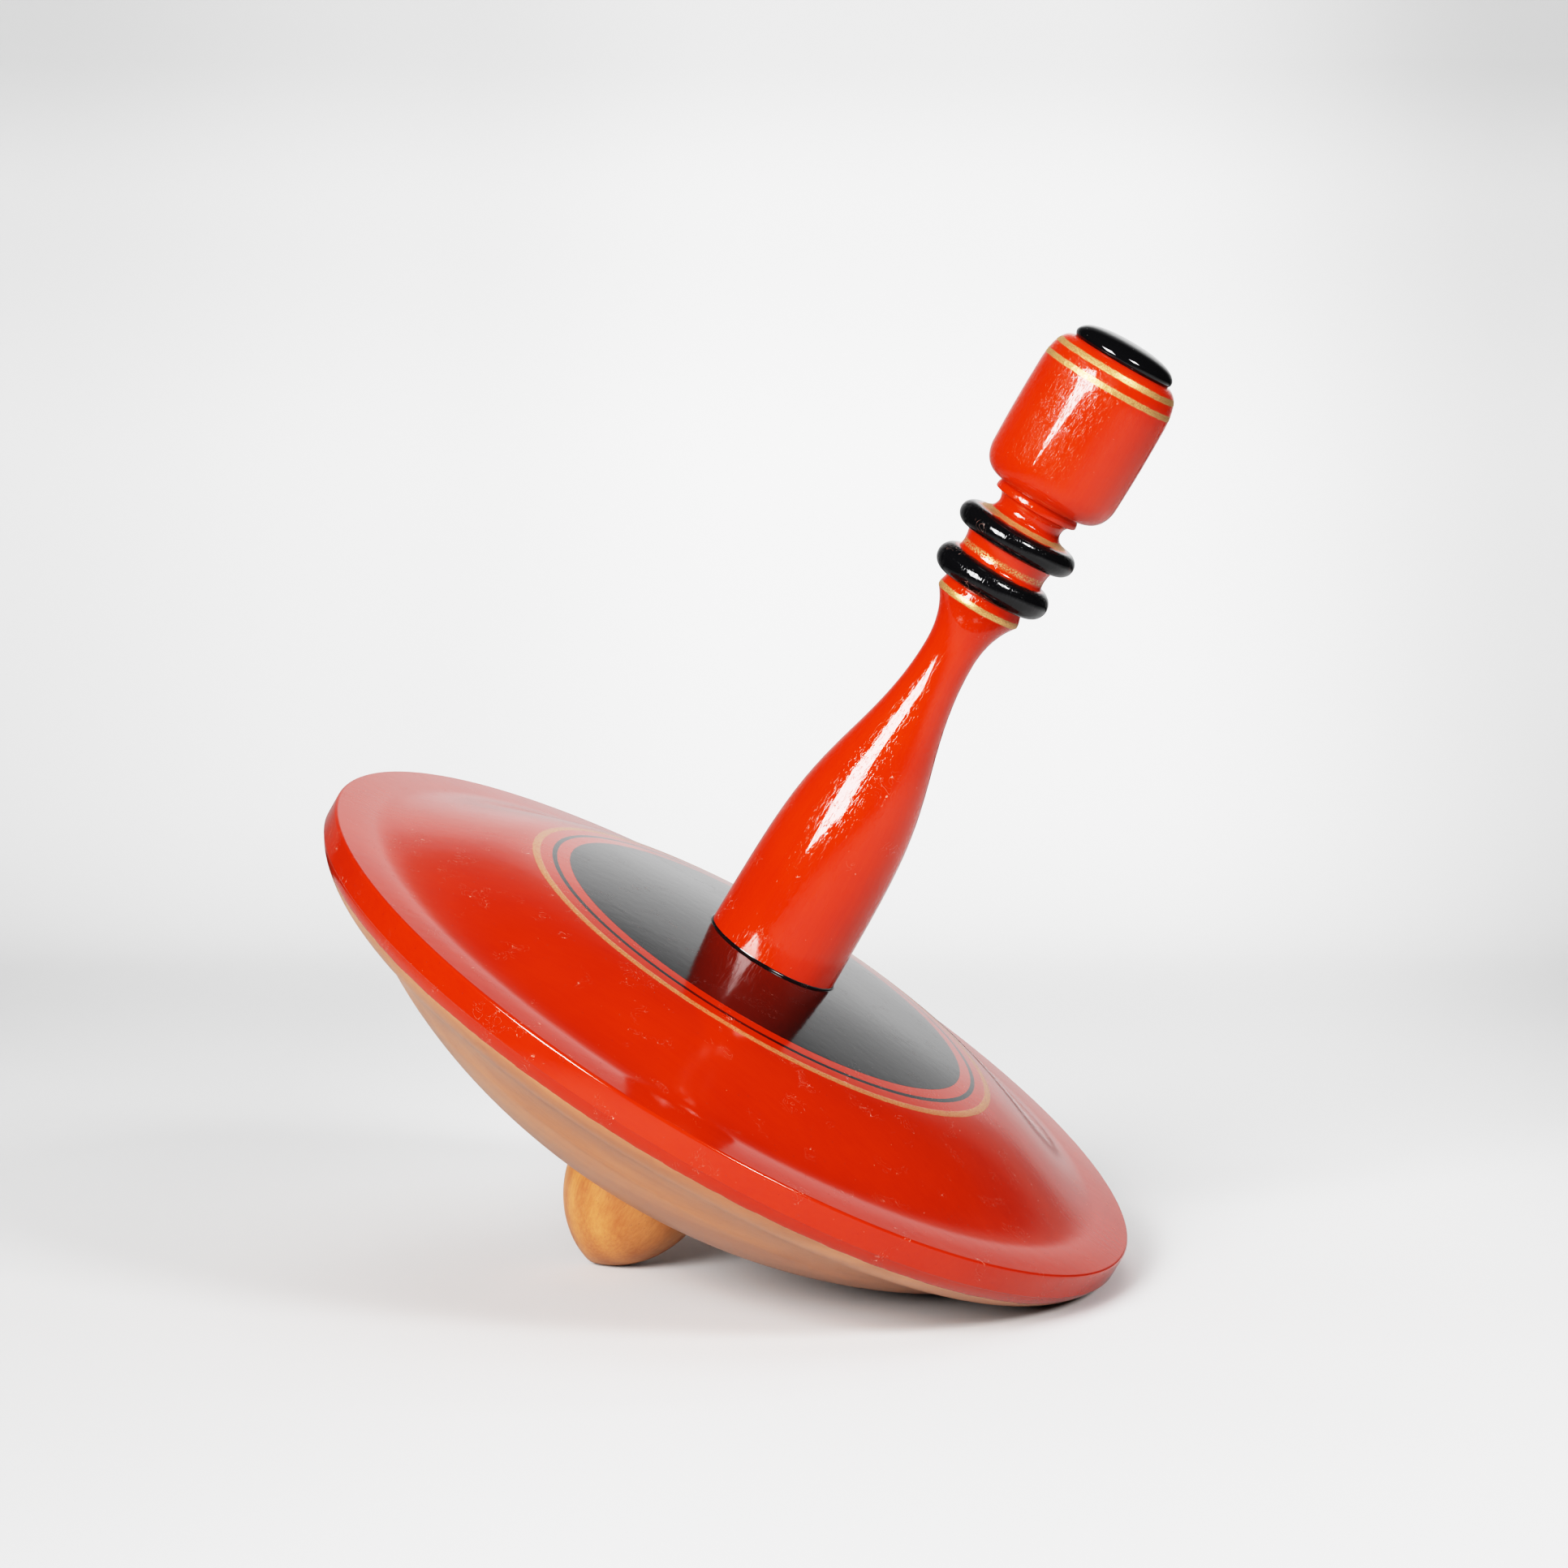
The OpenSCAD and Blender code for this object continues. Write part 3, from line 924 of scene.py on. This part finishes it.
def foot_material(top):
    fin = top.finishes
    paint = Paint("foot_finish", axis_zero(top))
    bend = paint.noise(paint.at, 0.07, 2.0, 0.5) * 5.0
    off_x = paint.x + 19.0
    off_y = paint.y - 16.0
    from_pith = (off_x * off_x + off_y * off_y).math("SQRT") + bend
    rings = (from_pith * 1.5).math("SINE") * 0.5 + 0.5
    fibre = paint.stretched(0, 2.2, 2.2, 0.22)
    fine = paint.noise(fibre, 1.0, 3.0, 0.65)
    pores = paint.noise(fibre, 2.0, 1.0, 0.5).over(0.70, 0.05)
    broad = paint.noise(paint.at, 0.10, 3.0, 0.55)
    turned = paint.noise(paint.stretched(0, 0.02, 0.02, 1.6), 1.0, 2.0, 0.6)
    shade = (rings * 0.36 + fine.over(0.5, 0.3) * 0.38 + broad.over(0.5, 0.4) * 0.32).clamped()
    base = paint.mix(shade, rgba(fin.foot_dark), rgba(fin.foot))
    base = paint.mix(pores * 0.4, base, tuple(c * 0.4 for c in fin.foot_dark) + (1.0,))
    rough = 0.30 + (broad - 0.5) * 0.08 + (1 - fine) * 0.06
    height = fine * 0.8 - pores * 1.5 + turned * 0.6
    return paint.finish(base, rough, 0.0, height, 0.000014)


# --------------------------------------------------------------- operators


class PieceOperator:
    """What every piece's operator shares."""

    bl_options = {"REGISTER", "UNDO"}
    piece = material_slot = ""
    outline = material = None

    def execute(self, context):
        top = context.scene.spinning_top
        cls = type(self)
        made = turn(cls.piece + "_turned", cls.outline(top), top)
        made.data.materials.append(cls.material(top))
        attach(made, "root")
        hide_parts(cls.piece)
        return {"FINISHED"}


class TOP_OT_disc(PieceOperator, bpy.types.Operator):
    """Turns and paints the disc"""

    bl_idname = "top.disc"
    bl_label = "Disc"
    piece = "disc"
    material_slot = "disc_lacquer"
    outline = staticmethod(disc_outline)
    material = staticmethod(disc_material)


class TOP_OT_foot(PieceOperator, bpy.types.Operator):
    """Turns and finishes the foot"""

    bl_idname = "top.foot"
    bl_label = "Foot"
    piece = "foot"
    material_slot = "foot_wood"
    outline = staticmethod(foot_outline)
    material = staticmethod(foot_material)


class TOP_OT_handle(PieceOperator, bpy.types.Operator):
    """Turns and paints the handle"""

    bl_idname = "top.handle"
    bl_label = "Handle"
    piece = "handle"
    material_slot = "handle_lacquer"
    outline = staticmethod(handle_outline)
    material = staticmethod(handle_material)


class TOP_OT_knob(PieceOperator, bpy.types.Operator):
    """Turns and paints the knob"""

    bl_idname = "top.knob"
    bl_label = "Knob"
    piece = "knob"
    material_slot = "knob_lacquer"
    outline = staticmethod(knob_outline)
    material = staticmethod(knob_material)


class TOP_OT_cap(PieceOperator, bpy.types.Operator):
    """Turns and paints the cap"""

    bl_idname = "top.cap"
    bl_label = "Cap"
    piece = "cap_button"
    material_slot = "cap_lacquer"
    outline = staticmethod(cap_outline)
    material = staticmethod(cap_material)


def area_light(name, at, toward, size, watts, seen=True):
    """A soft rectangular light that faces a point."""
    bpy.ops.object.light_add(type="AREA", location=at)
    lamp = bpy.context.object
    lamp.name = lamp.data.name = name
    lamp.rotation_euler = (Vector(toward) - Vector(at)).to_track_quat("-Z", "Y").to_euler()
    lamp.data.shape = "RECTANGLE"
    lamp.data.size, lamp.data.size_y = size
    lamp.data.energy = watts
    lamp.visible_glossy = seen
    lamp.visible_camera = False
    return lamp


def around(azimuth, elevation, distance, middle=(0.0, 0.0, 0.09)):
    """A point at that bearing from the middle of the top, with +X at azimuth 0."""
    a, e = math.radians(azimuth), math.radians(elevation)
    way = Vector((math.cos(a) * math.cos(e), math.sin(a) * math.cos(e), math.sin(e)))
    return Vector(middle) + way * distance


def studio_point(studio, right, back, up):
    """A point measured rightwards and backwards from the top, as the camera faces."""
    turn_about = studio.camera_turn[2]
    across = Vector((math.cos(turn_about), math.sin(turn_about), 0))
    away = Vector((-math.sin(turn_about), math.cos(turn_about), 0))
    return across * right + away * back + Vector((0, 0, up))


def plane(name, studio, right, back, height=None):
    """A level sheet between two widths and two depths, or with its far edge drawn up."""
    bpy.ops.object.select_all(action="DESELECT")
    bpy.ops.mesh.primitive_plane_add(size=1.0)
    sheet = bpy.context.object
    sheet.name = sheet.data.name = name
    bpy.ops.object.mode_set(mode="EDIT")
    bpy.ops.mesh.select_all(action="SELECT")
    size = (right[1] - right[0], back[1] - back[0], 1.0)
    bpy.ops.transform.resize(value=size, center_override=(0, 0, 0))
    middle = (sum(right) / 2, sum(back) / 2, 0)
    bpy.ops.transform.translate(value=middle)
    if height is not None:
        bpy.ops.mesh.select_all(action="DESELECT")
        bpy.ops.object.mode_set(mode="OBJECT")
        for vertex in sheet.data.vertices:
            vertex.select = vertex.co.y > back[1] - 1e-6
        for edge in sheet.data.edges:
            edge.select = all(sheet.data.vertices[i].select for i in edge.vertices)
        bpy.ops.object.mode_set(mode="EDIT")
        bpy.ops.mesh.select_mode(type="EDGE")
        bpy.ops.mesh.extrude_region_move(TRANSFORM_OT_translate={"value": (0, 0, height)})
        bpy.ops.mesh.select_all(action="SELECT")
        bpy.ops.mesh.normals_make_consistent(inside=False)
    bpy.ops.object.mode_set(mode="OBJECT")
    sheet.rotation_euler = (0, 0, studio.camera_turn[2])
    return sheet


class Card:
    """A stage material with painted light: its brightness fades across the sheet."""

    def __init__(self, name):
        self.material = bpy.data.materials.new(name)
        self.material.use_nodes = True
        self.tree = self.material.node_tree
        self.surface = self.tree.nodes["Principled BSDF"]
        self.surface.inputs["Roughness"].default_value = 0.8
        self.surface.inputs["Specular IOR Level"].default_value = 0.2
        place = self.tree.nodes.new("ShaderNodeTexCoord")
        self.place = self.tree.nodes.new("ShaderNodeSeparateXYZ")
        self.tree.links.new(place.outputs["Object"], self.place.inputs[0])

    def fade(self, axis, stops, reach=None):
        """Painted brightness along one axis, from stops of place and brightness."""
        low, high = reach or (stops[0][0], stops[-1][0])
        spread = self.tree.nodes.new("ShaderNodeMapRange")
        spread.inputs["From Min"].default_value = low
        spread.inputs["From Max"].default_value = high
        self.tree.links.new(self.place.outputs[axis], spread.inputs["Value"])
        ramp = self.tree.nodes.new("ShaderNodeValToRGB")
        ramp.color_ramp.interpolation = "EASE"
        while len(ramp.color_ramp.elements) < len(stops):
            ramp.color_ramp.elements.new(0.5)
        for element, (place, bright) in zip(ramp.color_ramp.elements, stops):
            element.position = (place - low) / (high - low)
            element.color = (bright, bright, bright, 1.0)
        self.tree.links.new(spread.outputs[0], ramp.inputs[0])
        return ramp.outputs[0]

    def product(self, first, second, scale=1.0):
        """Two fades multiplied together."""
        times = self.tree.nodes.new("ShaderNodeVectorMath")
        times.operation = "MULTIPLY"
        self.tree.links.new(first, times.inputs[0])
        self.tree.links.new(second, times.inputs[1])
        scaled = self.tree.nodes.new("ShaderNodeVectorMath")
        scaled.operation = "SCALE"
        scaled.inputs["Scale"].default_value = scale
        self.tree.links.new(times.outputs[0], scaled.inputs[0])
        return scaled.outputs[0]


class TOP_OT_stage(bpy.types.Operator):
    """Lays the paper sweep, the lights and the camera"""

    bl_idname = "top.stage"
    bl_label = "Stage"

    def execute(self, context):
        studio = context.scene.spinning_top.studio
        self.sweep(studio)
        self.cards(studio)
        middle = (0, 0, 0.09)
        area_light("key_light", around(-104, 22, 1.3), middle, (0.60, 0.64), studio.key)
        area_light("side_light", around(-30, 28, 1.3), middle, (0.34, 0.32), studio.side)
        area_light("top_light", (0.1, -0.1, 1.5), (0, 0, 0), (1.1, 1.1), studio.top, seen=False)
        above = studio_point(studio, 0.0, 0.40, 0.80)
        target = studio_point(studio, 0.0, 0.80, 0.22)
        area_light("wall_light", above, target, (0.45, 0.25), studio.wall, seen=False)
        self.world(context.scene, studio)
        self.camera(context.scene, studio)
        self.tone(context.scene.view_settings)
        return {"FINISHED"}

    def sweep(self, studio):
        """A wide paper floor whose far edge bends up into a wall, with painted shade in its
        colour.
        """
        paper = plane("paper_sweep", studio, PAPER_WIDTH, PAPER_DEPTH, PAPER_HEIGHT)
        bevel = paper.modifiers.new("bend", "BEVEL")
        bevel.width = PAPER_BEND
        bevel.segments = 32
        bevel.limit_method = "ANGLE"
        bpy.ops.object.modifier_apply(modifier=bevel.name)
        bpy.ops.object.shade_smooth()
        card = Card("paper")
        # Painted shade: the paper's colour fades darker sideways, up the wall and toward the
        # front.
        across = card.fade(0, PAPER_SHADE_ACROSS)
        up = card.fade(2, PAPER_SHADE_UP)
        back = card.fade(1, PAPER_SHADE_BACK)
        painted_shade = card.product(card.product(across, up), back)
        card.tree.links.new(painted_shade, card.surface.inputs["Base Color"])
        paper.data.materials.append(card.material)
        paper.visible_glossy = False

    def cards(self, studio):
        """Painted reflections of the lit wall and the floor near the top: cards seen only in the
        lacquer's reflections.
        """
        wall = plane("wall_reflection_card", studio, WALL_WIDTH, WALL_DEPTH, WALL_HEIGHT)
        bpy.ops.object.mode_set(mode="EDIT")
        bpy.ops.mesh.select_all(action="DESELECT")
        bpy.ops.object.mode_set(mode="OBJECT")
        for polygon in wall.data.polygons:
            polygon.select = abs(polygon.normal.z) > 0.5
        bpy.ops.object.mode_set(mode="EDIT")
        bpy.ops.mesh.select_mode(type="FACE")
        bpy.ops.mesh.delete(type="ONLY_FACE")
        bpy.ops.object.mode_set(mode="OBJECT")
        # Painted reflection: the wall card glows, though it is no lamp, brightest in the middle
        # and fading across and up.
        card = Card("wall_glow")
        across = card.fade(0, WALL_GLOW_ACROSS, WALL_WIDTH)
        up = card.fade(2, WALL_GLOW_UP, (0.0, WALL_HEIGHT))
        card.surface.inputs["Base Color"].default_value = (0, 0, 0, 1)
        card.surface.inputs["Emission Strength"].default_value = studio.wall_glow
        light = card.product(across, up)
        card.tree.links.new(light, card.surface.inputs["Emission Color"])
        wall.data.materials.append(card.material)
        floor = plane("floor_reflection_card", studio, FLOOR_WIDTH, FLOOR_DEPTH)
        # Painted reflection: the floor card, seen only in reflections, is painted darker than the
        # paper and fades across and along.
        card = Card("floor_painted_reflection")
        across = card.fade(0, FLOOR_REFLECTION_ACROSS, FLOOR_WIDTH)
        along = card.fade(1, FLOOR_REFLECTION_ALONG, FLOOR_DEPTH)
        light = card.product(across, along, FLOOR_REFLECTION_SHADE)
        card.tree.links.new(light, card.surface.inputs["Base Color"])
        floor.data.materials.append(card.material)
        floor.location.z = FLOOR_LIFT
        for sheet in (wall, floor):
            sheet.visible_camera = sheet.visible_diffuse = sheet.visible_shadow = False

    def world(self, scene, studio):
        """Even light from all round, with a dark room in reflections."""
        world = bpy.data.worlds.new("studio_room")
        scene.world = world
        world.use_nodes = True
        tree = world.node_tree
        back = tree.nodes["Background"]
        path = tree.nodes.new("ShaderNodeLightPath")
        colour_in = None
        shades = ((studio.room, "Is Glossy Ray"), (studio.surround, "Is Camera Ray"))
        for shade, ray in shades:
            mix = tree.nodes.new("ShaderNodeMix")
            mix.data_type = "RGBA"
            mix.inputs[6].default_value = (studio.ambient,) * 3 + (1.0,)
            if colour_in:
                tree.links.new(colour_in, mix.inputs[6])
            mix.inputs[7].default_value = (shade,) * 3 + (1.0,)
            tree.links.new(path.outputs[ray], mix.inputs[0])
            colour_in = mix.outputs[2]
        tree.links.new(colour_in, back.inputs["Color"])

    def camera(self, scene, studio):
        """The camera, with no shift and no blur."""
        bpy.ops.object.camera_add(location=studio.camera_at, rotation=studio.camera_turn)
        camera = bpy.context.object
        camera.name = camera.data.name = "camera"
        camera.data.sensor_width = 36.0
        camera.data.lens = studio.lens
        camera.data.clip_start, camera.data.clip_end = 0.01, 60.0
        scene.camera = camera

    def tone(self, view):
        """A camera's tone curve: a firm toe and a long shoulder."""
        view.view_transform = "Standard"
        view.use_curve_mapping = True
        curves = view.curve_mapping
        curves.white_level = (TONE_WHITE,) * 3
        line = curves.curves[3]
        for scene, shown in TONE_POINTS:
            line.points.new(scene / TONE_WHITE, shown)
        curves.update()


class TOP_PT_panel(bpy.types.Panel):
    """Lists the top's pieces"""

    bl_idname = "TOP_PT_panel"
    bl_label = "Spinning Top"
    bl_space_type = "VIEW_3D"
    bl_region_type = "UI"
    bl_category = "Top"

    def draw(self, context):
        layout = self.layout
        for operator in PIECES:
            layout.operator(operator.bl_idname)
        layout.operator(TOP_OT_stage.bl_idname)
        for group in ("disc", "foot", "handle", "knob", "cap", "finishes", "studio"):
            box = layout.box()
            box.label(text=group.capitalize())
            settings = getattr(context.scene.spinning_top, group)
            for name in type(settings).__annotations__:
                box.prop(settings, name)


PIECES = (TOP_OT_disc, TOP_OT_foot, TOP_OT_handle, TOP_OT_knob, TOP_OT_cap)
CLASSES = (
    DiscSizes,
    FootSizes,
    HandleSizes,
    KnobSizes,
    CapSizes,
    Finishes,
    Studio,
    TopProject,
    *PIECES,
    TOP_OT_stage,
    TOP_PT_panel,
)


def register():
    for cls in CLASSES:
        bpy.utils.register_class(cls)
    bpy.types.Scene.spinning_top = PointerProperty(type=TopProject)


def unregister():
    del bpy.types.Scene.spinning_top
    for cls in reversed(CLASSES):
        bpy.utils.unregister_class(cls)


def main():
    register()
    bpy.ops.top.disc()
    bpy.ops.top.foot()
    bpy.ops.top.handle()
    bpy.ops.top.knob()
    bpy.ops.top.cap()
    bpy.ops.top.stage()


if __name__ == "__main__":
    main()
